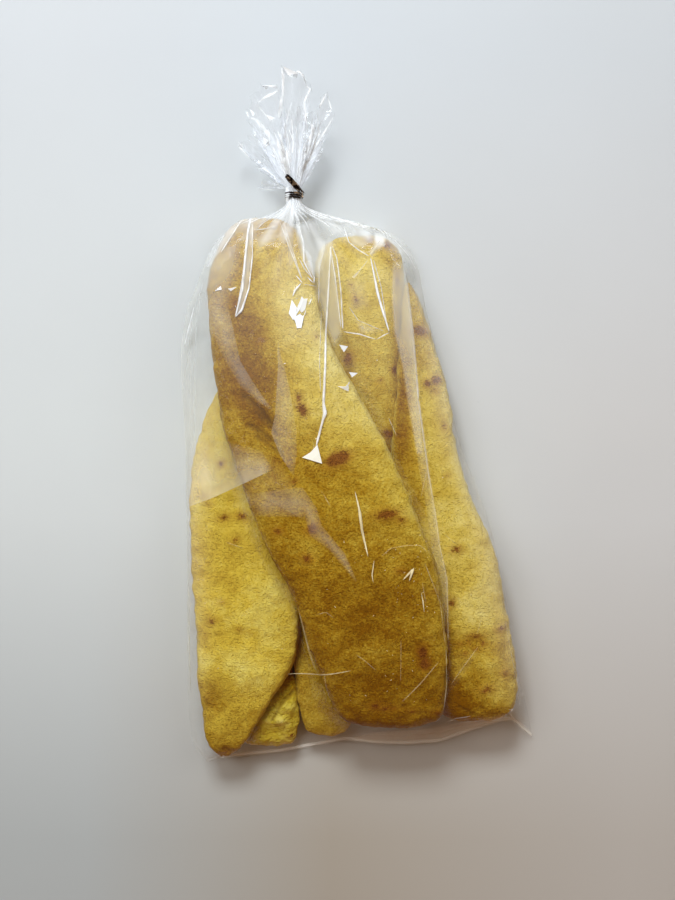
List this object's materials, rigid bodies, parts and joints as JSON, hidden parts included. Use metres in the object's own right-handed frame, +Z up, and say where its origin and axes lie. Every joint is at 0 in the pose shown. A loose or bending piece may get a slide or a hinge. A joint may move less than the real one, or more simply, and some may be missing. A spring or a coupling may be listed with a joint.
{
  "type": "bagged bread slices",
  "caption": "Long slices of pale yellow bread in a clear film bag, gathered at the top and closed with a twist tie.",
  "frame": {"origin": "middle of the box that the bag fills, at table height", "axes": "+Y from the sealed bottom to the frilled top, +X to the right seen from the front, +Z up out of the front panel"},
  "size_m": [0.1424, 0.2744, 0.0361],
  "materials": {
    "clear_film": "thin clear glossy film, creased and pleated",
    "bread_crust": "soft matt crust, pale yellow to olive brown, with reddish brown bits",
    "bread_crumb": "rough broken crumb, greenish yellow",
    "tie_foil": "dark golden brown foil strip, satin"
  },
  "bodies": {
    "root": {"bread_bag": "clear_film", "twist_tie": "tie_foil"}
  },
  "joints": []
}
